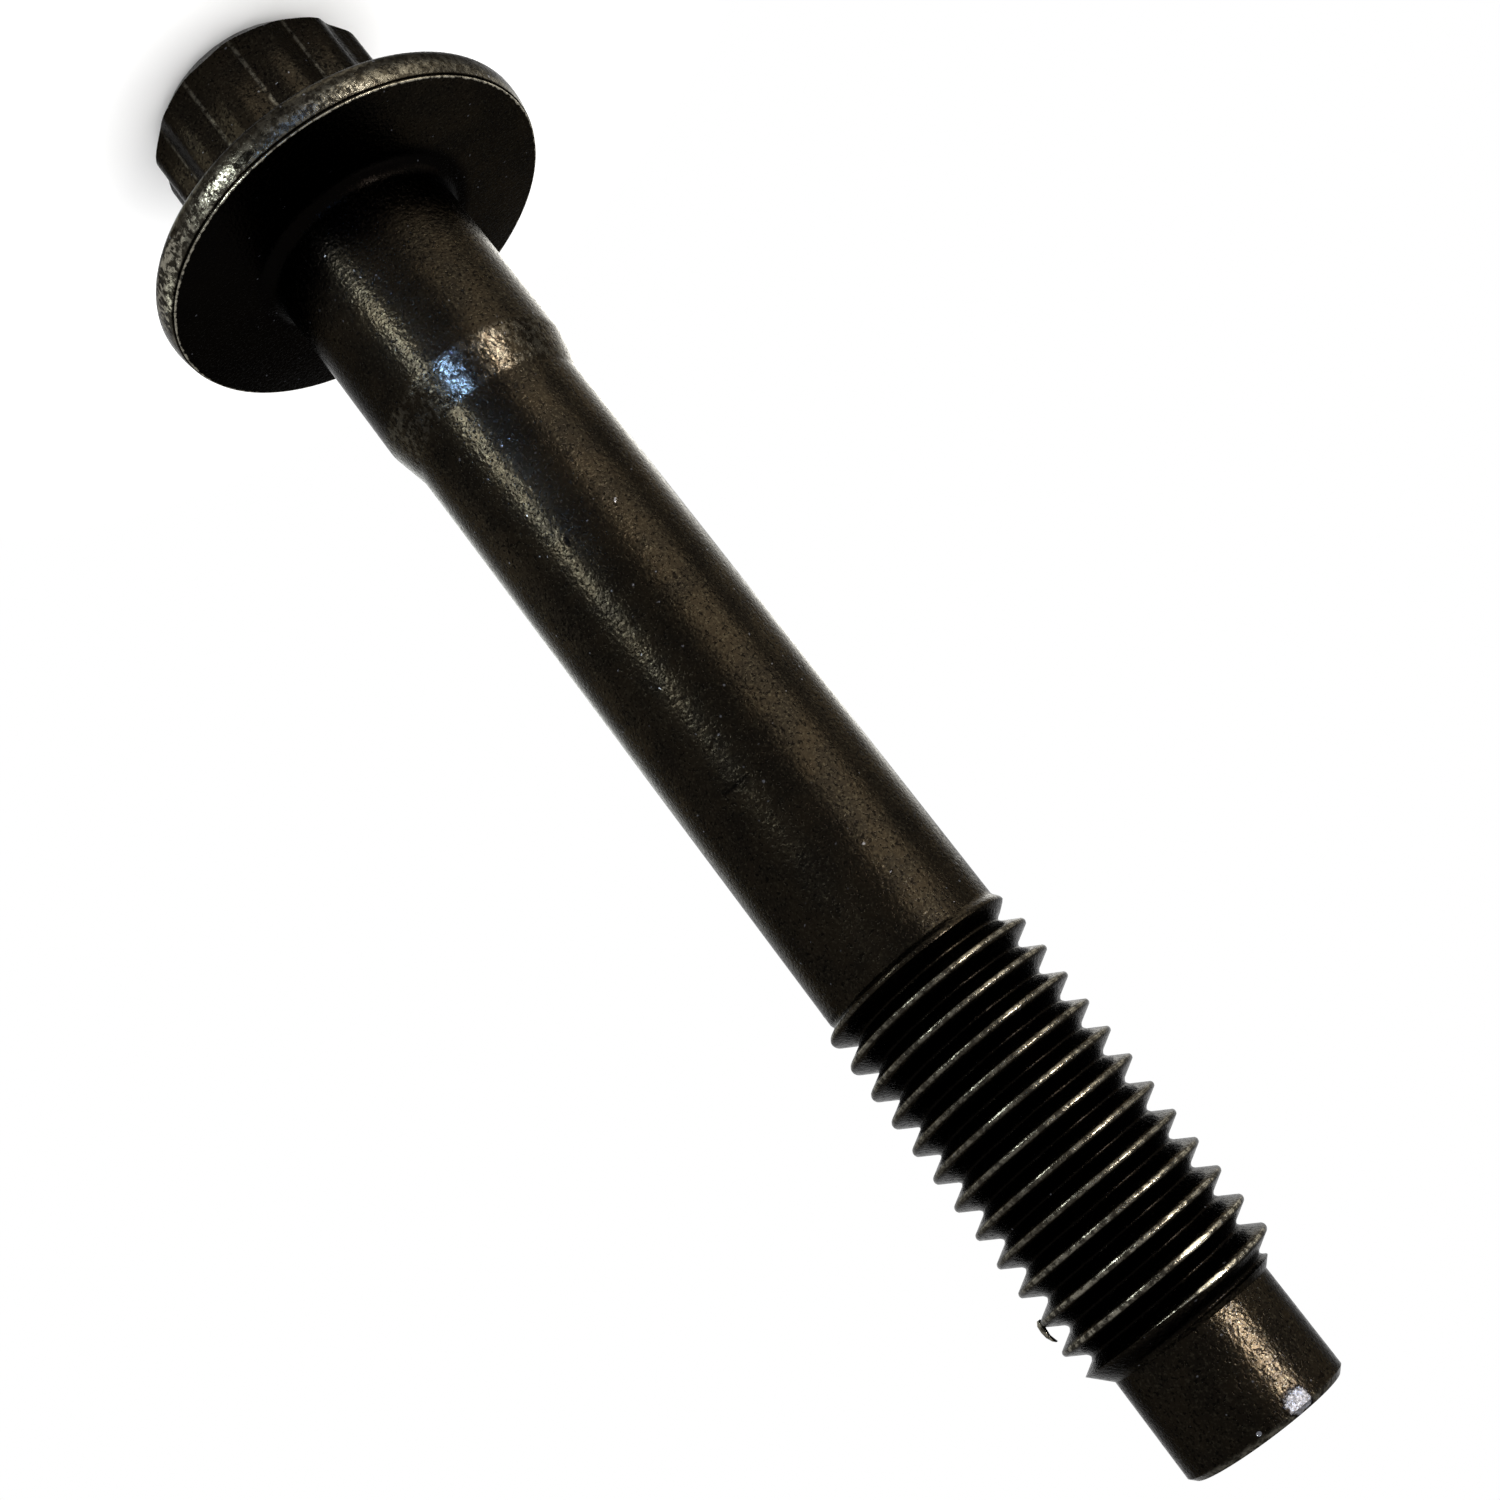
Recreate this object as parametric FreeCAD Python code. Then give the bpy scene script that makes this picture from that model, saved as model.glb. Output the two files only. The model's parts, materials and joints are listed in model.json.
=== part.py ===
import FreeCAD
import Part
import math
import os
from FreeCAD import Vector

# Wheel hub bolt, forged and rolled in one piece. It stands on its head with the tip up.
# The origin is the centre of the head's flat top, +Z runs towards the tip. Millimetres and degrees.

# lengths along the axis, one after the other from the head's flat top to the tip
head_height = 12.4        # flat top to the bearing face under the flange
collar_length = 12.3
taper_length = 2.5
shank_length = 38.2
thread_length = 23.3      # from the end of the shank to the start of the dog point
dog_length = 5.9

# diameters
flange_d = 25.2
bearing_d = 24.66         # flat ring that seats on the wheel carrier
collar_d = 12.02
shank_d = 10.9            # about the thread's pitch diameter, as rolled bolts have it
thread_d = 12.0
crest_d = 11.97           # thread crests, slightly under the nominal size
dog_d = 9.4

# thread
thread_pitch = 1.75
thread_angle = 60.0
run_in_d = 11.5           # low first turn beside the shank
run_in_length = 0.7       # slope from the shank up to that turn
full_crest_length = 1.2   # from the top of that slope to crests of full height
first_groove = 0.23       # from the end of the shank to the groove's line, on the side facing -Y
fade_start = 0.2          # turns from there to where the groove begins to sink in
fade_turns = 0.8          # turns over which it comes down to full depth
lead_chamfer = 45.0       # end of the thread, measured from the axis
groove_clearance = 0.1    # the groove's solid stands this far out of the metal

# flange
rim_thickness = 2.1
rim_belly = 1.0           # the rim reaches its full width this far behind the bearing face
rim_top_chamfer = 0.35
lip_height = 0.2          # fine step between the bearing face and the rim
lip_step = 0.09
flange_slope = 14.0       # cone on the head side

# twelve-point head
across_flats = 13.0
points = 12
first_peak = 7.0          # direction of one peak from +X
peak_round = 1.4
valley_round = 1.2
head_root_fillet = 0.9
top_flat_d = 11.8
top_chamfer = 45.0

# small radii
under_head_fillet = 0.9
collar_edge_round = 1.6
taper_foot_round = 3.0
dog_chamfer = 0.3

# stations along the axis
bearing_z = head_height
collar_end_z = bearing_z + collar_length
shank_start_z = collar_end_z + taper_length
thread_start_z = shank_start_z + shank_length
dog_start_z = thread_start_z + thread_length
tip_z = dog_start_z + dog_length


def tangent(degrees):
    return math.tan(math.radians(degrees))


# section of the thread
vee_height = thread_pitch / 2 / tangent(thread_angle / 2)
vee_r = thread_d / 2 - 7 / 8 * vee_height
root_r = vee_r + vee_height / 6
crest_r = crest_d / 2
crest_half = (crest_r - vee_r) * tangent(thread_angle / 2)


def outline(corners):
    """Closed wire in the XZ plane through corners (radius, height, rounding)."""
    edges = []
    starts = []
    ends = []
    count = len(corners)
    for i, (r, z, rounding) in enumerate(corners):
        here = Vector(r, 0, z)
        before = Vector(corners[i - 1][0], 0, corners[i - 1][1]) - here
        after = Vector(corners[(i + 1) % count][0], 0, corners[(i + 1) % count][1]) - here
        half = before.getAngle(after) / 2
        reach = 0.0
        if rounding:
            # a rounding is limited by the shorter of the two sides that it joins
            reach = min(rounding / math.tan(half), 0.49 * before.Length, 0.49 * after.Length)
        a = here + before.normalize() * reach
        b = here + after.normalize() * reach
        starts.append(a)
        ends.append(b)
        if reach:
            radius = reach * math.tan(half)
            centre = here + (before + after).normalize() * (radius / math.sin(half))
            middle = centre + (here - centre).normalize() * radius
            edges.append((i, Part.Arc(a, middle, b).toShape()))
    lines = [(i + 0.5, Part.LineSegment(ends[i], starts[(i + 1) % count]).toShape()) for i in range(count)]
    ordered = sorted(edges + lines, key=lambda item: item[0])
    return Part.Wire([edge for _, edge in ordered])


def turned(corners):
    """Solid of revolution about the bolt's axis."""
    face = Part.Face(outline(corners))
    return face.revolve(Vector(0, 0, 0), Vector(0, 0, 1), 360)


def star_wire(z):
    """Twelve-point outline: two hexagons 30 degrees apart, with rounded peaks and valleys."""
    apothem = across_flats / 2
    step = 360 / points
    peak_r = apothem / math.cos(math.radians(30))
    valley_r = apothem / math.cos(math.radians(step / 2))
    peak_reach = peak_round * tangent(30)
    valley_reach = valley_round * tangent(step / 2)

    def at(radius, degrees):
        angle = math.radians(first_peak + degrees)
        return Vector(radius * math.cos(angle), radius * math.sin(angle), z)

    edges = []
    for k in range(points):
        peak = at(peak_r, k * step)
        left = at(valley_r, (k - 0.5) * step)
        right = at(valley_r, (k + 0.5) * step)
        next_peak = at(peak_r, (k + 1) * step)
        up = (peak - left).normalize()
        down = (right - peak).normalize()
        climb = (next_peak - right).normalize()
        peak_top = at(peak_r - peak_round * (1 / math.cos(math.radians(30)) - 1), k * step)
        valley_low = at(valley_r + valley_round * (1 / math.cos(math.radians(step / 2)) - 1), (k + 0.5) * step)
        rise = peak - up * peak_reach
        fall = peak + down * peak_reach
        enter = right - down * valley_reach
        leave = right + climb * valley_reach
        edges.append(Part.Arc(rise, peak_top, fall).toShape())
        edges.append(Part.LineSegment(fall, enter).toShape())
        edges.append(Part.Arc(enter, valley_low, leave).toShape())
        edges.append(Part.LineSegment(leave, next_peak - climb * peak_reach).toShape())
    return Part.Wire(edges)


def groove_edge(radius, rise, start):
    """Half a turn of a helix, from turn start on; before the thread it runs clear of the shank."""
    lift = shank_d / 2 - root_r + groove_clearance
    samples = []
    for i in range(13):
        turn = start + i / 24
        angle = math.radians(360 * turn - 90)
        sunk = min(max((turn - fade_start) / fade_turns, 0), 1)
        r = radius + lift * (1 + math.cos(math.pi * sunk)) / 2
        z = thread_start_z + first_groove + thread_pitch * turn + rise
        samples.append(Vector(r * math.cos(angle), r * math.sin(angle), z))
    curve = Part.BSplineCurve()
    curve.approximate(Points=samples, DegMin=5, DegMax=9, Tolerance=1e-5)
    return curve.toShape()


def end_face(corners):
    return Part.Face(Part.makePolygon(corners + corners[:1]))


def groove():
    """Solid of the thread's one helical groove, from the shank to past the lead chamfer."""
    mouth_r = crest_r + groove_clearance
    mouth_half = crest_half * (mouth_r - root_r) / (crest_r - root_r)
    rows = [(root_r, 0), (mouth_r, mouth_half), (mouth_r, -mouth_half)]
    half_turns = math.ceil(2 * thread_length / thread_pitch) + 2
    lengths = [[groove_edge(r, rise, (k - 1) / 2) for r, rise in rows] for k in range(half_turns)]
    faces = [end_face([edge.valueAt(edge.FirstParameter) for edge in lengths[0]])]
    faces.append(end_face([edge.valueAt(edge.LastParameter) for edge in lengths[-1]]))
    for edges in lengths:
        for i in range(3):
            faces += Part.makeRuledSurface(edges[i], edges[(i + 1) % 3]).Faces
    shell = Part.makeShell(faces)
    shell.sewShape(0.001)
    solid = Part.makeSolid(shell)
    if solid.Volume < 0:
        solid.reverse()
    return solid


def body():
    """Flange, collar, taper, shank, thread and dog point as one turned form."""
    core_r = across_flats / 2
    rim_r = flange_d / 2
    rim_top_z = bearing_z - rim_thickness
    cone_z = rim_top_z - (rim_r - core_r) * tangent(flange_slope)
    core_z = cone_z - 2 * head_root_fillet
    lip_r = bearing_d / 2
    return turned([
        (0, core_z, 0),
        (core_r, core_z, 0),
        (core_r, cone_z, head_root_fillet),
        (rim_r - rim_top_chamfer, rim_top_z, 0),
        (rim_r, rim_top_z + rim_top_chamfer, 0),
        (rim_r, bearing_z - rim_belly, 0),
        (lip_r + lip_step, bearing_z - lip_height, 0),
        (lip_r, bearing_z - lip_height, 0),
        (lip_r, bearing_z, 0),
        (collar_d / 2, bearing_z, under_head_fillet),
        (collar_d / 2, collar_end_z, collar_edge_round),
        (shank_d / 2, shank_start_z, taper_foot_round),
        (shank_d / 2, thread_start_z, 0),
        (run_in_d / 2, thread_start_z + run_in_length, 0),
        (run_in_d / 2, thread_start_z + run_in_length + full_crest_length / 2, 0),
        (crest_r, thread_start_z + run_in_length + full_crest_length, 0),
        (crest_r, dog_start_z - (crest_r - dog_d / 2) / tangent(lead_chamfer), 0),
        (dog_d / 2, dog_start_z, 0),
        (dog_d / 2, tip_z - dog_chamfer, 0),
        (dog_d / 2 - dog_chamfer, tip_z, 0),
        (0, tip_z, 0),
    ])


def head():
    """Twelve-point head: a star-shaped prism, chamfered all round at its flat top."""
    height = bearing_z - rim_thickness / 2
    prism = Part.Face(star_wire(0)).extrude(Vector(0, 0, height))
    outer_r = across_flats
    drop = (outer_r - top_flat_d / 2) * tangent(top_chamfer)
    envelope = turned([
        (0, 0, 0),
        (top_flat_d / 2, 0, 0),
        (outer_r, drop, 0),
        (outer_r, height + drop, 0),
        (0, height + drop, 0),
    ])
    return prism.common(envelope)


os.makedirs("parts", exist_ok=True)
bolt = body().cut(groove()).fuse(head())
solid = bolt.Solids[0]
print("solids", len(bolt.Solids), "valid", solid.isValid(), "volume", round(solid.Volume, 1))
solid.exportStep("parts/hub_bolt.step")
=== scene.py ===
import bmesh
import bpy
import json
import math
from mathutils import Matrix, Vector


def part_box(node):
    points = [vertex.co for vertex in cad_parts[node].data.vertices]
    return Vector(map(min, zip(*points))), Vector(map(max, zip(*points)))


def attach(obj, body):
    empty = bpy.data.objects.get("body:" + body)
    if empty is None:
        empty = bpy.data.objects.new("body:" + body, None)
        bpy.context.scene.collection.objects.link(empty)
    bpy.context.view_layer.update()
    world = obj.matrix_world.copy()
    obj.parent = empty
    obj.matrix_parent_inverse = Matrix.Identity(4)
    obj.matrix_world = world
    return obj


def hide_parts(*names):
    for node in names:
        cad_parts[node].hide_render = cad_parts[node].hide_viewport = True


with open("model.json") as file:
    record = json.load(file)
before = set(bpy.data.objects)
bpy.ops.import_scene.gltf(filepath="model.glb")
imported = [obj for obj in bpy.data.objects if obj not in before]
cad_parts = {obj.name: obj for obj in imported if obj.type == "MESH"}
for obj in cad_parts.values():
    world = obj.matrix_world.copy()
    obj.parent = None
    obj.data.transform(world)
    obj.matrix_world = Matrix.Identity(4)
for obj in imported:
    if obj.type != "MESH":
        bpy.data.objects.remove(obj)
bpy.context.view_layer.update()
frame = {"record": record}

mm = 0.001
boltNode = "hub_bolt"
boltLow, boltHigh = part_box(boltNode)
mounts = {mount["name"]: mount for mount in frame["record"]["mounts"]}

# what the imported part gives, in metres
bearingZ = mounts["bearing_face"]["pos_m"][2]
collarR = mounts["collar"]["dims"]["r_mm"] * mm
dogR = mounts["dog_point"]["dims"]["r_mm"] * mm
flangeR = boltHigh.x
tipZ = boltHigh.z

# how close counts as the same place, and within what distance corners become one
sameR = 0.01 * mm
sameZ = 0.004 * mm
mergeWithin = 0.002 * mm
weldWithin = 0.001 * mm


def enter(obj, kind="VERT"):
    # edit mode on one object, with nothing selected
    leave()
    bpy.ops.object.select_all(action="DESELECT")
    bpy.context.view_layer.objects.active = obj
    obj.select_set(True)
    bpy.ops.object.mode_set(mode="EDIT")
    bpy.ops.mesh.select_mode(type=kind)
    bpy.ops.mesh.select_all(action="DESELECT")


def leave():
    if bpy.context.mode != "OBJECT":
        bpy.ops.object.mode_set(mode="OBJECT")


def choose(obj, kind, test):
    # selects the vertices, edges or faces whose corners all pass the test
    mesh = bmesh.from_edit_mesh(obj.data)
    items = {"VERT": mesh.verts, "EDGE": mesh.edges, "FACE": mesh.faces}[kind]
    for item in items:
        corners = [item] if kind == "VERT" else item.verts
        if all(test(corner.co) for corner in corners):
            item.select_set(True)
    bmesh.update_edit_mesh(obj.data)


def chooseRim(obj, z):
    # selects the open edges at one height
    mesh = bmesh.from_edit_mesh(obj.data)
    for edge in mesh.edges:
        if edge.is_boundary and abs(edge.verts[0].co.z - z) < sameZ:
            edge.select_set(True)
    bmesh.update_edit_mesh(obj.data)


def radius(co):
    return math.hypot(co.x, co.y)


def addDisc(name, r, z, vertices, turned=0.0):
    leave()
    bpy.ops.object.select_all(action="DESELECT")
    bpy.ops.mesh.primitive_circle_add(
        vertices=vertices, radius=r, fill_type="NGON", location=(0, 0, z), rotation=(0, 0, turned))
    obj = bpy.context.active_object
    obj.name = name
    bpy.ops.object.transform_apply(location=True, rotation=True, scale=True)
    return obj


def faceOutwards():
    # in edit mode: all faces of a closed shell are made to point outwards
    bpy.ops.mesh.select_all(action="SELECT")
    bpy.ops.mesh.normals_make_consistent(inside=False)


def drawUp(name, rings, vertices):
    # a disc drawn up along the axis, from ring to ring of radius and height
    r, z = rings[0]
    obj = addDisc(name, r, z, vertices)
    enter(obj, "FACE")
    bpy.ops.mesh.select_all(action="SELECT")
    for nextR, nextZ in rings[1:]:
        bpy.ops.mesh.extrude_region_move(TRANSFORM_OT_translate={"value": (0, 0, nextZ - z)})
        bpy.ops.transform.resize(value=(nextR / r, nextR / r, 1), center_override=(0, 0, nextZ))
        r, z = nextR, nextZ
    faceOutwards()
    leave()
    return obj


def roundRing(obj, r, z, offset, segments):
    enter(obj, "EDGE")
    choose(obj, "EDGE", lambda co: abs(co.z - z) < sameZ and abs(radius(co) - r) < sameR)
    bpy.ops.mesh.bevel(offset=offset, segments=segments, affect="EDGES")
    leave()


def combine(obj, other, operation):
    leave()
    step = obj.modifiers.new("combine", "BOOLEAN")
    step.object = other
    step.operation = operation
    step.solver = "EXACT"
    bpy.context.view_layer.objects.active = obj
    bpy.ops.object.modifier_apply(modifier=step.name)
    bpy.data.objects.remove(other)


def smoothStep(value, start, end):
    share = min(max((value - start) / (end - start), 0), 1)
    return share * share * (3 - 2 * share)


# flange, collar, taper and shank; each rounding has a size and a number of steps
shankSizes = {
    "vertices": 160,
    "coreR": 6.2 * mm,
    "coreStartZ": bearingZ - 7 * mm,
    "coneSlope": 14.0,
    "rimTopZ": bearingZ - 2.1 * mm,
    "rimChamfer": 0.35 * mm,
    "bellyZ": bearingZ - 1.0 * mm,
    "lipR": 12.33 * mm,
    "lipStep": 0.09 * mm,
    "lipHeight": 0.2 * mm,
    "collarEndZ": bearingZ + 12.3 * mm,
    "shankStartZ": bearingZ + 14.8 * mm,
    "shankR": 5.45 * mm,
    "shankEndZ": bearingZ + 52.4 * mm,
    "sharp": (0, 0),
    "rimTopRound": (0.12 * mm, 3),
    "rimRound": (0.28 * mm, 5),
    "bellyRound": (0.3 * mm, 5),
    "lipFootRound": (0.03 * mm, 2),
    "lipRound": (0.05 * mm, 3),
    "underHeadRound": (0.9 * mm, 10),
    "collarEndRound": (0.22 * mm, 5),
    "taperFootRound": (0.18 * mm, 4),
}


def makeShank(s):
    rimInR = flangeR - s["rimChamfer"]
    lipFootZ = bearingZ - s["lipHeight"]
    coneDrop = (rimInR - s["coreR"]) * math.tan(math.radians(s["coneSlope"]))
    # radius, height and rounding of each ring
    rings = [
        (s["coreR"], s["coreStartZ"], s["sharp"]),
        (s["coreR"], s["rimTopZ"] - coneDrop, s["sharp"]),
        (rimInR, s["rimTopZ"], s["rimTopRound"]),
        (flangeR, s["rimTopZ"] + s["rimChamfer"], s["rimRound"]),
        (flangeR, s["bellyZ"], s["bellyRound"]),
        (s["lipR"] + s["lipStep"], lipFootZ, s["lipFootRound"]),
        (s["lipR"], lipFootZ, s["sharp"]),
        (s["lipR"], bearingZ, s["lipRound"]),
        (collarR, bearingZ, s["underHeadRound"]),
        (collarR, s["collarEndZ"], s["collarEndRound"]),
        (s["shankR"], s["shankStartZ"], s["taperFootRound"]),
        (s["shankR"], s["shankEndZ"], s["sharp"]),
    ]
    obj = drawUp("Shank", [(r, z) for r, z, _ in rings], s["vertices"])
    for r, z, (offset, segments) in rings:
        if offset:
            roundRing(obj, r, z, offset, segments)
    return obj


# twelve-point head: two hexagons, one turned 30 degrees; it ends inside the flange
headSizes = {
    "acrossFlats": 13.0 * mm,
    "hexagonHalf": 30.0,    # degrees, from the middle of a side to a corner
    "points": 12,
    "firstPeak": 7.0,
    "peakRound": 0.8 * mm,
    "valleyRound": 0.32 * mm,
    "roundSteps": 6,
    "height": bearingZ - 1.2 * mm,
    "flatR": 5.9 * mm,
    "envelopeR": 13.0 * mm,
    "envelopeTopZ": bearingZ + 4 * mm,
    "envelopeVertices": 192,
}


def makeHead(s):
    step = 360 / s["points"]
    apothem = s["acrossFlats"] / 2
    peakR = apothem / math.cos(math.radians(s["hexagonHalf"]))
    valleyR = apothem / math.cos(math.radians(step / 2))
    obj = addDisc("Head", peakR, boltLow.z, 2 * s["points"], math.radians(s["firstPeak"]))

    def isValley(co):
        turned = (math.degrees(math.atan2(co.y, co.x)) - s["firstPeak"]) % step
        return abs(turned - step / 2) < step / 4

    enter(obj)
    choose(obj, "VERT", isValley)
    bpy.ops.transform.resize(value=(valleyR / peakR, valleyR / peakR, 1), center_override=(0, 0, 0))
    bpy.ops.mesh.bevel(offset=s["valleyRound"], segments=s["roundSteps"], affect="VERTICES")
    bpy.ops.mesh.select_all(action="DESELECT")
    choose(obj, "VERT", lambda co: radius(co) > peakR - sameR)
    bpy.ops.mesh.bevel(offset=s["peakRound"], segments=s["roundSteps"], affect="VERTICES")
    bpy.ops.mesh.select_mode(type="FACE")
    bpy.ops.mesh.select_all(action="SELECT")
    bpy.ops.mesh.extrude_region_move(TRANSFORM_OT_translate={"value": (0, 0, s["height"])})
    faceOutwards()
    leave()

    # a 45 degree cone takes the corners off round the flat top
    coneEndZ = boltLow.z + s["envelopeR"] - s["flatR"]
    envelope = drawUp("Envelope", [
        (s["flatR"], boltLow.z),
        (s["envelopeR"], coneEndZ),
        (s["envelopeR"], s["envelopeTopZ"]),
    ], s["envelopeVertices"])
    combine(obj, envelope, "INTERSECT")
    return obj


# thread; the profile is half a turn as height and radius in mm, from a crest's middle to a groove's middle
threadSizes = {
    "pitch": 1.75 * mm,
    "crestZ": bearingZ + 54.5435 * mm,   # a crest's middle on the side facing +X
    "profile": [
        (0.0, 5.985), (0.07, 5.975), (0.15, 5.93), (0.29, 5.688), (0.4375, 5.435), (0.585, 5.18),
        (0.68, 5.02), (0.76, 4.95), (0.82, 4.91), (0.875, 4.895)],
    "stepsPerTurn": 160,
    "turnsBelow": 1.1,                   # the winding starts lower down, and is pressed flat there
    "turnsAbove": 2,
    "spare": 1.0 * mm,                   # room between the cuts and what they leave alone
    "shankR": shankSizes["shankR"],
    "startZ": shankSizes["shankEndZ"],
    "ridgeFade": (bearingZ + 52.85 * mm, bearingZ + 54.5 * mm),
    "grooveFade": (bearingZ + 53.6 * mm, bearingZ + 54.6 * mm),
    "crestR": 5.985 * mm,
    "dogStartZ": bearingZ + 76.3 * mm,
    "tipChamfer": 0.3 * mm,
}


def makeThread(s):
    half = [(z * mm, r * mm) for z, r in s["profile"]]
    turn = half + [(s["pitch"] - z, r) for z, r in reversed(half[:-1])]
    turnsDown = math.ceil((s["crestZ"] - s["startZ"]) / s["pitch"] + s["turnsBelow"])
    windingZ = s["crestZ"] - turnsDown * s["pitch"]

    # the profile: a single corner drawn out point by point
    leave()
    bpy.ops.object.select_all(action="DESELECT")
    bpy.ops.mesh.primitive_plane_add(size=mm, location=(0, 0, 0))
    obj = bpy.context.active_object
    obj.name = "Thread"
    enter(obj)
    bpy.ops.mesh.select_all(action="SELECT")
    bpy.ops.mesh.merge(type="CENTER")
    bpy.ops.transform.translate(value=(turn[0][1], 0, windingZ))
    for (z, r), (nextZ, nextR) in zip(turn, turn[1:]):
        bpy.ops.mesh.extrude_region_move(TRANSFORM_OT_translate={"value": (nextR - r, 0, nextZ - z)})
    leave()

    # wound into a screw, turn on turn
    winding = obj.modifiers.new("winding", "SCREW")
    winding.axis = "Z"
    winding.angle = math.tau
    winding.screw_offset = s["pitch"]
    winding.iterations = math.ceil((tipZ - windingZ) / s["pitch"]) + s["turnsAbove"]
    winding.steps = s["stepsPerTurn"]
    winding.render_steps = s["stepsPerTurn"]
    bpy.ops.object.modifier_apply(modifier=winding.name)
    enter(obj)
    bpy.ops.mesh.select_all(action="SELECT")
    bpy.ops.mesh.remove_doubles(threshold=mergeWithin)
    leave()

    # the first turn rises out of the shank, and its groove sinks in a little later
    for vertex in obj.data.vertices:
        r = radius(vertex.co)
        above = max(r - s["shankR"], 0) * smoothStep(vertex.co.z, *s["ridgeFade"])
        below = max(s["shankR"] - r, 0) * smoothStep(vertex.co.z, *s["grooveFade"])
        share = (s["shankR"] + above - below) / r
        vertex.co.x *= share
        vertex.co.y *= share

    # the lower end is pressed flat and closed, the upper one cut off above the tip
    enter(obj)
    choose(obj, "VERT", lambda co: co.z < s["startZ"])
    bpy.ops.transform.resize(value=(1, 1, 0), center_override=(0, 0, s["startZ"]))
    bpy.ops.mesh.select_all(action="SELECT")
    bpy.ops.mesh.remove_doubles(threshold=mergeWithin)
    bpy.ops.mesh.bisect(
        plane_co=(0, 0, tipZ + s["spare"]), plane_no=(0, 0, 1), use_fill=True, clear_outer=True)
    bpy.ops.mesh.select_all(action="DESELECT")
    chooseRim(obj, s["startZ"])
    bpy.ops.mesh.edge_face_add()
    faceOutwards()
    leave()

    # turned down to the lead chamfer and the dog point
    leadZ = s["dogStartZ"] - (s["crestR"] - dogR)
    outerR = s["crestR"] + s["spare"]
    blank = drawUp("Blank", [
        (outerR, s["startZ"] - s["spare"]),
        (outerR, leadZ - s["spare"]),
        (dogR, s["dogStartZ"]),
        (dogR, tipZ - s["tipChamfer"]),
        (dogR - s["tipChamfer"], tipZ),
    ], shankSizes["vertices"])
    combine(obj, blank, "INTERSECT")
    return obj


def weld(lower, upper, z):
    # both ends at that height are opened, and their rims become one
    for obj in (lower, upper):
        enter(obj, "FACE")
        choose(obj, "FACE", lambda co: abs(co.z - z) < weldWithin)
        bpy.ops.mesh.delete(type="ONLY_FACE")
        leave()
    upper.select_set(True)
    lower.select_set(True)
    bpy.context.view_layer.objects.active = lower
    bpy.ops.object.join()
    enter(lower)
    bpy.ops.mesh.select_all(action="SELECT")
    bpy.ops.mesh.remove_doubles(threshold=weldWithin)
    faceOutwards()
    leave()


# a thin curl of metal torn from one crest near the tip; its rings are half width and height in mm
burrSizes = {
    "rings": [(0.10, 84.15), (0.19, 84.35), (0.17, 84.7), (0.13, 85.05), (0.10, 85.35), (0.05, 85.5)],
    "vertices": 12,
    "r": 5.93 * mm,
    "bulge": 0.10 * mm,
    "hook": 0.24 * mm,
    "hookStretch": (0.7, 1.3),           # shares of the curl's length; it still bends at its end
    "turned": 5.0,
}


def makeBurr(s):
    rings = [(r * mm, z * mm) for r, z in s["rings"]]
    obj = drawUp("Burr", rings, s["vertices"])
    low = rings[0][1]
    high = rings[-1][1]
    # bent outwards in the middle and back in at its end
    for vertex in obj.data.vertices:
        share = (vertex.co.z - low) / (high - low)
        outwards = s["bulge"] * math.sin(math.pi * share)
        inwards = s["hook"] * smoothStep(share, *s["hookStretch"])
        vertex.co.x += s["r"] + outwards - inwards
    bpy.ops.object.select_all(action="DESELECT")
    obj.select_set(True)
    bpy.ops.transform.rotate(value=math.radians(s["turned"]), orient_axis="Z", center_override=(0, 0, 0))
    bpy.ops.object.transform_apply(location=True, rotation=True, scale=True)
    return obj


smoothBelow = 32    # degrees between two faces

bolt = makeShank(shankSizes)
print("shank made", len(bolt.data.polygons))
head = makeHead(headSizes)
print("head made", len(head.data.polygons))
combine(bolt, head, "UNION")
print("head joined", len(bolt.data.polygons))
thread = makeThread(threadSizes)
print("thread made", len(thread.data.polygons))
weld(bolt, thread, shankSizes["shankEndZ"])
combine(bolt, makeBurr(burrSizes), "UNION")
bolt.name = "Bolt"
bolt.select_set(True)
bpy.ops.object.shade_smooth_by_angle(angle=math.radians(smoothBelow))

mesh = bmesh.new()
mesh.from_mesh(bolt.data)
openEdges = sum(1 for edge in mesh.edges if not edge.is_manifold)
triangles = len(mesh.calc_loop_triangles())
mesh.free()
print("bolt made, triangles", triangles, "open edges", openEdges)

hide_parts(boltNode)
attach(bolt, "root")


class Value:
    # a socket that can be used in Python arithmetic
    def __init__(self, finish, socket):
        self.finish = finish
        self.socket = socket

    def calculate(self, operation, *values):
        return self.finish.add("ShaderNodeMath", {"operation": operation}, dict(enumerate(values)))

    def __add__(self, other):
        return self.calculate("ADD", self, other)

    def __radd__(self, other):
        return self.calculate("ADD", other, self)

    def __sub__(self, other):
        return self.calculate("SUBTRACT", self, other)

    def __rsub__(self, other):
        return self.calculate("SUBTRACT", other, self)

    def __mul__(self, other):
        return self.calculate("MULTIPLY", self, other)

    def __rmul__(self, other):
        return self.calculate("MULTIPLY", other, self)

    def __truediv__(self, other):
        return self.calculate("DIVIDE", self, other)

    def root(self):
        return self.calculate("SQRT", self)

    def most(self, other):
        return self.calculate("MAXIMUM", self, other)

    def between(self, low, high):
        # 0 below low, 1 above high, smooth on the way; the node's inputs 1 and 2 are where it starts and ends
        return self.finish.add(
            "ShaderNodeMapRange", {"interpolation_type": "SMOOTHSTEP"}, {0: self, 1: low, 2: high})

    def within(self, riseFrom, riseTo, fallFrom, fallTo):
        # 1 on a stretch, 0 outside it, smooth at both of its ends
        return self.between(riseFrom, riseTo) * (1 - self.between(fallFrom, fallTo))


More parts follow.
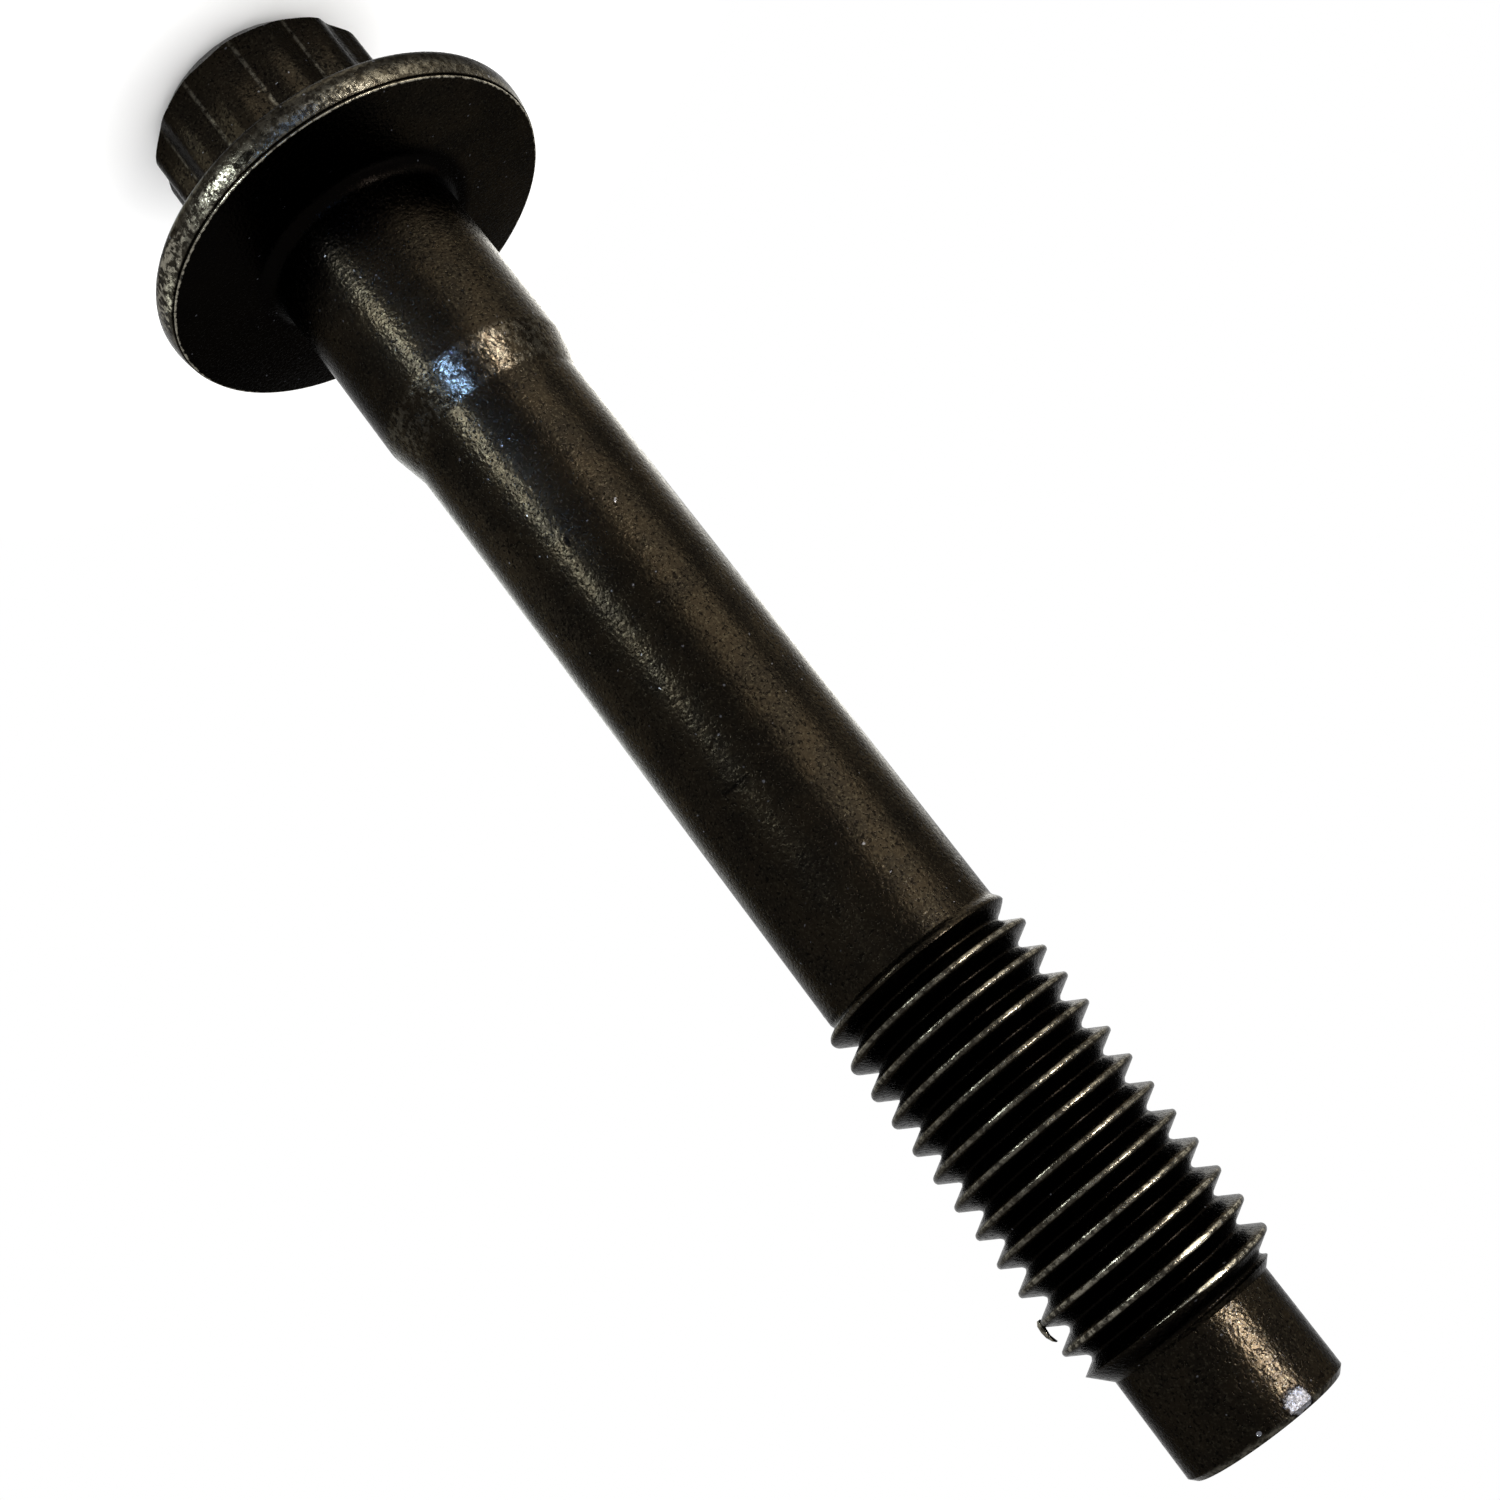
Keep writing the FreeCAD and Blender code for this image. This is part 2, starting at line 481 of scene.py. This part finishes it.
class Finish:
    # the nodes of one material or of the world
    def __init__(self, tree):
        self.tree = tree
        self.tree.nodes.clear()

    def add(self, kind, settings=None, values=None, output=0):
        node = self.tree.nodes.new(kind)
        for key, setting in (settings or {}).items():
            setattr(node, key, setting)
        for key, value in (values or {}).items():
            if isinstance(value, Value):
                self.tree.links.new(value.socket, node.inputs[key])
            else:
                node.inputs[key].default_value = value
        return Value(self, node.outputs[output] if len(node.outputs) else None)

    def noise(self, place, scale, detail, roughness):
        return self.add("ShaderNodeTexNoise", {}, {
            "Vector": place, "Scale": scale, "Detail": detail, "Roughness": roughness})

    def mix(self, share, first, second):
        # a Mix node's colours are its inputs 6 and 7 and its output 2
        return self.add("ShaderNodeMix", {"data_type": "RGBA"}, {0: share, 6: first, 7: second}, 2)

    def seenWhite(self):
        # camera, mirrored and refracted rays: they all meet the same plain white
        rays = ("Is Camera Ray", "Is Glossy Ray", "Is Transmission Ray")
        camera, glossy, glass = [self.add("ShaderNodeLightPath", {}, {}, ray) for ray in rays]
        return camera + glossy + glass


# patterns spread over the steel: scale for places in mm, detail, roughness
patterns = {
    "coarse": (0.45, 3.0, 0.55),
    "patchy": (2.6, 4.0, 0.6),
    "skin": (4.2, 1.0, 0.5),
    "fine": (7.0, 2.0, 0.6),
    "pits": (5.0, 2.0, 0.6),
    "dust": (3.6, 0.0, 0.55),
}
pitLevels = (0.55, 0.64)
dustLevels = (0.84, 0.86)

# single marks: degrees towards the photo's right; height, distance from the axis, half width and half height,
# all in mm; and how ragged the outline is
marks = {
    # flash and flashNearTip: glints painted on the last crests as bare steel
    "flash": (25, 85.63, 5.98, 1.1, 0.17, 0.3),
    "flashNearTip": (20, 87.36, 5.98, 1.0, 0.15, 0.3),
    # rimLeft, rimRight and rimFarLeft: highlights painted on the rim as bare steel
    "rimLeft": (-25, 11.7, 12.5, 3.4, 0.6, 1.0),
    "rimRight": (16, 11.7, 12.5, 2.2, 0.5, 1.0),
    "rimFarLeft": (-54, 11.5, 12.5, 4.4, 0.8, 0.0),
    "dent": (-10.4, 11.73, 12.6, 0.75, 0.27, 0.4),
    "chip": (23, 94.05, 4.7, 0.74, 0.62, 1.0),
    "chipWithEdge": (23, 94.05, 4.7, 0.92, 0.80, 1.0),
    "fleck": (-7, 94.1, 4.7, 0.15, 0.13, 0.4),
    "turnedLine": (-18, 53.9, 5.45, 1.1, 0.10, 0.5),
    "nick": (-10.6, 37.6, 5.45, 0.16, 0.35, 0.0),
}
markFade = (0.8, 1.0)    # from a mark's middle, as a share of its size


class Surface:
    # where a point of the bolt lies, in mm, and the patterns spread over it
    def __init__(self, finish):
        coords = finish.add("ShaderNodeTexCoord", {}, {}, "Object")
        place = finish.add("ShaderNodeVectorMath", {"operation": "SCALE"}, {0: coords, "Scale": 1 / mm})
        self.x = finish.add("ShaderNodeSeparateXYZ", {}, {0: place}, "X")
        self.y = finish.add("ShaderNodeSeparateXYZ", {}, {0: place}, "Y")
        self.z = finish.add("ShaderNodeSeparateXYZ", {}, {0: place}, "Z")
        self.r = (self.x * self.x + self.y * self.y).root()
        self.right = 0 - self.x    # the photo's right
        self.coarse = finish.noise(place, *patterns["coarse"])
        self.patchy = finish.noise(place, *patterns["patchy"])
        self.skin = finish.noise(place, *patterns["skin"])
        self.fine = finish.noise(place, *patterns["fine"])
        self.pits = finish.noise(place, *patterns["pits"]).between(*pitLevels)
        self.dust = finish.noise(place, *patterns["dust"]).between(*dustLevels)

    def spot(self, mark):
        # 1 at a mark, 0 outside an ellipse round it
        degrees, height, atR, wide, tall, ragged = marks[mark]
        angle = math.radians(degrees)
        across = (self.x * -math.cos(angle) + self.y * math.sin(angle)) / wide
        out = (self.x * -math.sin(angle) + self.y * -math.cos(angle) - atR) / wide
        along = (self.z - height) / tall
        off = (across * across + along * along + out * out).root() + ragged * (self.patchy - 0.5)
        return 1 - off.between(*markFade)


# worn places and painted highlights: stretches in mm, with Z along the bolt and R from its axis, levels of the
# patchy pattern, and shares of bare steel from 0 to 1
wearAndHighlightSizes = {
    "patches": (0.42, 0.60),
    "threadZ": (65.8, 67.5, 88.4, 88.8),
    "crestR": (5.925, 5.983),
    "crestShare": 0.035,
    "crestPatchShare": 0.11,
    "nearTipZ": (80, 86),
    "nearTipShare": 0.16,
    # painted highlights: the glints on the last crests
    "flashR": (5.90, 5.96),
    "flashShare": 0.45,
    "rimZ": (10.3, 10.6, 12.12, 12.2),
    "rimR": (12.2, 12.45),
    "rimShare": 0.020,
    # painted highlight: more bare steel towards the lip, where the rim's highlight lies
    "rimFrontZ": (10.9, 11.7),
    "rimFrontShare": 0.070,
    "rimEven": 0.25,
    "rimPatchy": 1.1,
    # painted highlights: spots on the rim where its lamps are mirrored
    "rimLeftShare": 0.12,
    "rimRightShare": 0.10,
    "rimFarLeftShare": 0.26,
    "rimMarkPatches": (0.46, 0.58),
    # painted shade: less bare steel on the rim towards the right
    "rimRightFade": (5.0, 11.0),
    "rimRightLoss": 0.5,
    "lipZ": (12.3, 12.36),
    "lipInR": (12.1, 12.2),
    "lipR": (12.23, 12.29),
    "lipRagged": 0.3,
    "lipShare": 0.10,
    "lipPatchShare": 0.32,
    "lipPatches": (0.38, 0.55),
    "tipEdgeZ": (94.2, 94.45),
    "tipEdgeR": (4.35, 4.5),
    "tipEdgeShare": 0.02,
    "tipEdgePatchShare": 0.10,
    # painted highlight: thin lighter lines along the head's valleys
    "creaseR": (6.5, 6.7, 6.77, 6.79),
    "creaseEndZ": (8.6, 8.9),
    "creaseShare": 0.12,
    "creasePatches": (0.35, 0.6),
    # wear and painted highlight: bare steel on the taper where its highlight patches lie
    "shoulderZ": (24.4, 24.8, 26.9, 27.3),
    "shoulderPatches": (0.48, 0.58),
    "shoulderShare": 0.02,
}


def wearAndPaintedHighlights(at, s):
    # bare steel: worn on the thread crests, rim, the lip beside the bearing face and the tip; painted as
    # highlights on the last crests, the rim, the head's valleys and the taper; and less of it on the rim
    # towards the right, as painted shade
    patches = at.patchy.between(*s["patches"])

    nearTip = s["nearTipShare"] * at.z.between(*s["nearTipZ"])
    crest = at.r.between(*s["crestR"]) * at.z.within(*s["threadZ"])
    crest = crest * (s["crestShare"] + patches * (s["crestPatchShare"] + nearTip))
    # painted highlights: bare steel where glints fall on the last crests
    paintedCrestGlints = at.spot("flash").most(at.spot("flashNearTip"))
    crest = crest + paintedCrestGlints * at.r.between(*s["flashR"]) * s["flashShare"]

    rim = at.r.between(*s["rimR"]) * at.z.within(*s["rimZ"])
    # painted highlight: more bare steel towards the lip, where the rim's highlight lies
    rim = rim * (s["rimShare"] + s["rimFrontShare"] * at.z.between(*s["rimFrontZ"]))
    rim = rim * (s["rimEven"] + s["rimPatchy"] * patches)
    # spots of bare steel where the rim's highlights fall: painted highlights
    paintedRimHighlights = at.spot("rimLeft") * s["rimLeftShare"] + at.spot("rimRight") * s["rimRightShare"]
    paintedRimHighlights = paintedRimHighlights + at.spot("rimFarLeft") * s["rimFarLeftShare"]
    rim = rim + paintedRimHighlights * at.patchy.between(*s["rimMarkPatches"])
    # painted shade: less bare steel on the rim towards the right
    rim = rim * (1 - at.right.between(*s["rimRightFade"]) * s["rimRightLoss"])

    raggedR = at.r + s["lipRagged"] * (at.patchy - 0.5)
    lip = raggedR.between(*s["lipR"]) * at.r.between(*s["lipInR"]) * at.z.between(*s["lipZ"])
    lip = lip * (s["lipShare"] + s["lipPatchShare"] * at.patchy.between(*s["lipPatches"]))

    tipEdge = at.z.between(*s["tipEdgeZ"]) * at.r.between(*s["tipEdgeR"])
    tipEdge = tipEdge * (s["tipEdgeShare"] + s["tipEdgePatchShare"] * patches)

    # painted highlight: thin lighter lines along the head's valleys
    creaseHighlight = at.r.within(*s["creaseR"]) * (1 - at.z.between(*s["creaseEndZ"]))
    creaseHighlight = creaseHighlight * s["creaseShare"] * at.patchy.between(*s["creasePatches"])

    # wear and painted highlight: bare steel on the taper where its highlight patches lie
    # only the taper lies at these heights
    shoulderWearAndHighlight = at.z.within(*s["shoulderZ"]) * at.patchy.between(*s["shoulderPatches"]) * s["shoulderShare"]

    return crest.most(rim).most(shoulderWearAndHighlight).most(lip).most(tipEdge).most(creaseHighlight)


# painted shade, laid on in the same way: in the thread's grooves, in the corner under the head and on the
# bearing face, which is left lighter towards the right as a painted sheen; the pits are real dark marks
paintedShadeAndPitSizes = {
    "grooveZ": (66.5, 68.0, 88.2, 88.6),
    "grooveEndR": (5.5, 5.92),
    "grooveShare": 0.85,
    "cornerZ": (12.2, 12.4, 14.5, 18.0),
    "cornerEndR": (7.0, 8.0),
    "cornerShare": 0.95,
    "faceZ": (12.36, 12.39, 12.41, 12.6),
    "faceRightFade": (1.0, 9.0),
    "faceRightLoss": 0.9,
    "faceShare": 0.9,
    "pitShare": 0.8,
}


def paintedShadeAndPits(at, s):
    # painted shade in the thread's grooves and in the corner under the head
    groove = at.z.within(*s["grooveZ"]) * (1 - at.r.between(*s["grooveEndR"]))
    corner = at.z.within(*s["cornerZ"]) * (1 - at.r.between(*s["cornerEndR"]))
    # the bearing face painted dark as shade, and less so towards the right as a painted sheen
    face = at.z.within(*s["faceZ"]) * (1 - at.right.between(*s["faceRightFade"]) * s["faceRightLoss"])
    grime = (groove * s["grooveShare"]).most(corner * s["cornerShare"])
    return grime.most(face * s["faceShare"]).most(at.pits * s["pitShare"])


# black oxide: colours, gloss, how strong its patterns and marks are, and the depth of the bump
steelFinish = {
    "oxide": (0.0048, 0.0039, 0.0029, 1),
    "oxideBrown": (0.0074, 0.0057, 0.0038, 1),
    "brownLevels": (0.35, 0.65),
    "grain": (0.0200, 0.0172, 0.0116, 1),
    "grainLevels": (0.50, 0.72),
    "grainShare": 0.6,
    # near-black colour of the painted shade, the pits and the dark marks
    "grime": (0.0012, 0.0010, 0.0009, 1),
    # bare steel, for real wear and for painted highlights
    "bare": (0.50, 0.465, 0.375, 1),
    "pitsInBare": 0.5,
    "chip": (0.115, 0.118, 0.135, 1),
    "chipEven": 0.45,
    "chipGrainy": 0.55,
    "chipLevels": (0.44, 0.58),
    "dustShare": 0.4,
    "dentDark": 0.8,
    "lineDark": 0.8,
    "edgeTint": (0.50, 0.50, 0.50, 1),
    "roughness": 0.22,
    "patchRoughness": 0.16,
    "pitRoughness": 0.15,
    "wornRoughness": 0.10,
    "chipRoughness": 0.35,
    "bumpHeight": 0.026 * mm,
    "fineHeight": 0.35,
    "pitDepth": 0.25,
    "dentDepth": 2.0,
    "chipDepth": 1.0,
    "scratchDepth": 0.8,
}


def makeSteel(s):
    material = bpy.data.materials.new("blackSteel")
    material.use_nodes = True
    f = Finish(material.node_tree)
    at = Surface(f)
    wearAndHighlights = wearAndPaintedHighlights(at, wearAndHighlightSizes)
    grime = paintedShadeAndPits(at, paintedShadeAndPitSizes)

    # marks: a dent in the rim, a chip and a fleck at the tip, a turned line and a nick on the shank
    dent = at.spot("dent")
    chip = at.spot("chip")
    chipEdge = at.spot("chipWithEdge") - chip
    line = at.spot("turnedLine")
    nick = at.spot("nick")
    dark = chipEdge.most(dent * s["dentDark"]).most(line * s["lineDark"]).most(nick)
    chipped = chip * (s["chipEven"] + s["chipGrainy"] * at.fine.between(*s["chipLevels"]))
    chipped = chipped.most(at.dust * s["dustShare"]).most(at.spot("fleck"))

    oxide = f.mix(at.coarse.between(*s["brownLevels"]), s["oxide"], s["oxideBrown"])
    oxide = f.mix(at.fine.between(*s["grainLevels"]) * s["grainShare"], oxide, s["grain"])
    # painted shade, pits and dark marks take the near-black colour
    oxide = f.mix(grime.most(dark), oxide, s["grime"])
    # bare steel where the mask holds wear and where it holds painted highlight
    colour = f.mix(wearAndHighlights * (1 - dark) * (1 - at.pits * s["pitsInBare"]), oxide, s["bare"])
    colour = f.mix(chipped, colour, s["chip"])

    rough = s["roughness"] + s["patchRoughness"] * (at.patchy - 0.5) + at.pits * s["pitRoughness"]
    rough = rough + wearAndHighlights * s["wornRoughness"] + chip * s["chipRoughness"]
    height = at.skin + at.fine * s["fineHeight"] - at.pits * s["pitDepth"]
    height = height - dent * s["dentDepth"] - chip * s["chipDepth"] - line.most(nick) * s["scratchDepth"]
    bump = f.add("ShaderNodeBump", {}, {"Strength": 1.0, "Distance": s["bumpHeight"], "Height": height})
    shader = f.add("ShaderNodeBsdfPrincipled", {}, {
        "Base Color": colour,
        "Metallic": 1.0,
        "Specular Tint": s["edgeTint"],
        "Roughness": rough,
        "Normal": bump,
    })
    f.add("ShaderNodeOutputMaterial", {}, {"Surface": shader})
    return material


bolt.data.materials.clear()
bolt.data.materials.append(makeSteel(steelFinish))
print("finish made")


# studio, in metres: floor and world, and the height of the lamps that lie on the floor
studio = {
    "white": (1, 1, 1, 1),
    "floorSize": 8.0,
    "floorGap": 0.02 * mm,
    "floorColour": (0.94, 0.94, 0.94, 1),
    "plainFrom": 0.016,    # from the axis: the floor turns into plain white between these distances
    "plainAt": 0.04,
    "dim": 0.05,
    "daylight": 1.9,
    "floorLampZ": 1.0 * mm,
}


def makeFloor(s):
    leave()
    bpy.ops.object.select_all(action="DESELECT")
    bpy.ops.mesh.primitive_plane_add(size=s["floorSize"], location=(0, 0, boltLow.z - s["floorGap"]))
    floor = bpy.context.active_object
    floor.name = "Floor"
    bpy.ops.object.transform_apply(location=True)
    material = bpy.data.materials.new("floorWhite")
    material.use_nodes = True
    f = Finish(material.node_tree)
    coords = f.add("ShaderNodeTexCoord", {}, {}, "Object")
    away = f.add("ShaderNodeVectorMath", {"operation": "LENGTH"}, {0: coords}, "Value")
    far = away.between(s["plainFrom"], s["plainAt"]) * f.seenWhite()
    matt = f.add("ShaderNodeBsdfDiffuse", {}, {"Color": s["floorColour"]})
    plain = f.add("ShaderNodeEmission", {}, {"Color": s["white"], "Strength": 1.0})
    both = f.add("ShaderNodeMixShader", {}, {0: far, 1: matt, 2: plain})
    f.add("ShaderNodeOutputMaterial", {}, {"Surface": both})
    floor.data.materials.append(material)


def makeWorld(s):
    world = bpy.data.worlds.new("Studio")
    bpy.context.scene.world = world
    world.use_nodes = True
    f = Finish(world.node_tree)
    shown = f.seenWhite()
    diffuse = f.add("ShaderNodeLightPath", {}, {}, "Is Diffuse Ray")
    unseen = diffuse * s["daylight"] + (1 - diffuse) * s["dim"]
    sky = f.add("ShaderNodeBackground", {}, {"Color": s["white"], "Strength": shown + (1 - shown) * unseen})
    f.add("ShaderNodeOutputWorld", {}, {"Surface": sky})


def addLamp(name, place, facing, along, width, length, radiance, colour, spread=180):
    # a flat lamp that shines towards facing, with its length lying along; a grid can narrow its spread
    leave()
    half = math.radians(spread / 2)
    data = bpy.data.lights.new(name, "AREA")
    data.shape = "RECTANGLE"
    data.size = width
    data.size_y = length
    data.spread = 2 * half
    data.energy = radiance * math.pi * width * length * (1 - half / math.tan(half))
    data.color = colour
    lamp = bpy.data.objects.new(name, data)
    bpy.context.collection.objects.link(lamp)
    back = -Vector(facing).normalized()
    side = Vector(along).cross(back).normalized()
    axes = Matrix([side, back.cross(side), back]).transposed().to_4x4()
    lamp.matrix_world = Matrix.Translation(place) @ axes
    lamp.visible_camera = False


def around(degrees, distance, z):
    # a place seen from the bolt: 0 is towards the camera, more turns to the photo's right-hand side
    angle = math.radians(degrees)
    return Vector((-distance * math.sin(angle), -distance * math.cos(angle), z))


# colours of the lamps
warm = (1.0, 0.93, 0.78)
paleWarm = (1.0, 0.97, 0.88)
green = (0.88, 1.0, 0.92)
blue = (0.24, 0.47, 1.0)

# flat on the floor, facing up, for the upright shank to mirror: turn round the bolt in degrees, nearest and
# farthest distance and width in metres, radiance, colour
floorLamps = {
    "Streak": (-31, 0.040, 0.14, 0.0055, 112.0, (0.86, 0.98, 1.0)),
    "WarmNear": (58, 0.034, 0.085, 0.042, 3.9, warm),
    "WarmMid": (58, 0.085, 0.18, 0.09, 5.0, warm),
    "WarmFar": (56, 0.18, 0.50, 0.20, 8.0, warm),
    "RightNear": (135, 0.03, 0.11, 0.07, 5.2, paleWarm),
    "RightFar": (135, 0.11, 0.45, 0.22, 3.6, paleWarm),
    "Left": (-135, 0.05, 0.45, 0.16, 1.8, (0.98, 1.0, 0.94)),
    "HeadRight": (30, 0.011, 0.020, 0.010, 3.2, (1.0, 0.97, 0.86)),
    "HeadLeft": (-52, 0.010, 0.018, 0.008, 3.2, (0.95, 1.0, 0.90)),
}

# standing, most with grids that keep them to their place on the bolt: turn; distance, height, width and length
# in metres; radiance, colour, the height aimed at, and the grid's spread in degrees, where 180 is no grid
standingLamps = {
    "DogLamp": (46, 0.30, 0.125, 0.10, 0.05, 235.0, (1.0, 0.93, 0.84), 0.092, 30),
    "DogSide": (112, 0.35, 0.12, 0.26, 0.12, 1.8, warm, 0.12, 180),
    "CrestRight": (60, 0.40, 0.05, 0.42, 0.08, 3.5, warm, 0.05, 180),
    "Flash": (46, 0.30, 0.094, 0.020, 0.010, 1000.0, (0.45, 0.62, 1.0), 0.0862, 12),
    "TaperCool": (-9, 0.15, 0.018, 0.011, 0.006, 4800.0, blue, 0.0262, 10),
    "TaperWarm": (47, 0.14, 0.0135, 0.090, 0.008, 680.0, (1.0, 0.96, 0.91), 0.0262, 14),
    "RimGreen": (-48, 0.10, 0.003, 0.020, 0.004, 9.0, green, 0.012, 24),
    "RimCool": (8, 0.10, 0.003, 0.028, 0.004, 26.0, blue, 0.012, 24),
    "RimWarm": (34, 0.10, 0.003, 0.016, 0.004, 10.0, warm, 0.012, 24),
    "RimLeft": (-104, 0.052, 0.002, 0.030, 0.004, 8.0, green, 0.012, 24),
}

# one soft lamp high above the bolt, beyond it and towards the photo's right
softTop = {
    "place": (-0.25, 0.1, 0.6),
    "facing": (0.25, -0.1, -0.6),
    "along": (0, 1, 0),
    "width": 0.3,
    "length": 0.3,
    "radiance": 0.8,
    "colour": (1.0, 0.98, 0.95),
}


def makeLamps():
    up = Vector((0, 0, 1))
    for name, (turn, near, far, width, radiance, colour) in floorLamps.items():
        place = around(turn, (near + far) / 2, studio["floorLampZ"])
        addLamp(name, place, up, around(turn, 1, 0), width, far - near, radiance, colour)
    for name, (turn, distance, height, width, length, radiance, colour, aim, spread) in standingLamps.items():
        place = around(turn, distance, height)
        addLamp(name, place, Vector((0, 0, aim)) - place, up, width, length, radiance, colour, spread)
    addLamp("SoftTop", **softTop)


# the photo's camera, worked out from the bolt's outline: its place, its three axes and its lens
cameraSizes = {
    "place": (0.0, -109.47 * mm, 81.45 * mm),
    "right": (-0.79361, 0.16661, 0.58515),
    "up": (-0.60830, -0.19958, -0.76820),
    "back": (-0.01121, -0.96559, 0.25975),
    "lens": 50.22,
    "sensor": 36,
    "shift": (0.0084, 0.0146),
    "clipStart": 1.0 * mm,
}


def makeCamera(s):
    data = bpy.data.cameras.new("Camera")
    data.lens = s["lens"]
    data.sensor_width = s["sensor"]
    data.clip_start = s["clipStart"]
    data.shift_x, data.shift_y = s["shift"]
    camera = bpy.data.objects.new("Camera", data)
    bpy.context.collection.objects.link(camera)
    axes = Matrix([s["right"], s["up"], s["back"]]).transposed().to_4x4()
    camera.matrix_world = Matrix.Translation(s["place"]) @ axes
    bpy.context.scene.camera = camera
    bpy.context.scene.view_settings.view_transform = "Standard"


makeFloor(studio)
makeWorld(studio)
makeLamps()
makeCamera(cameraSizes)
print("studio made")
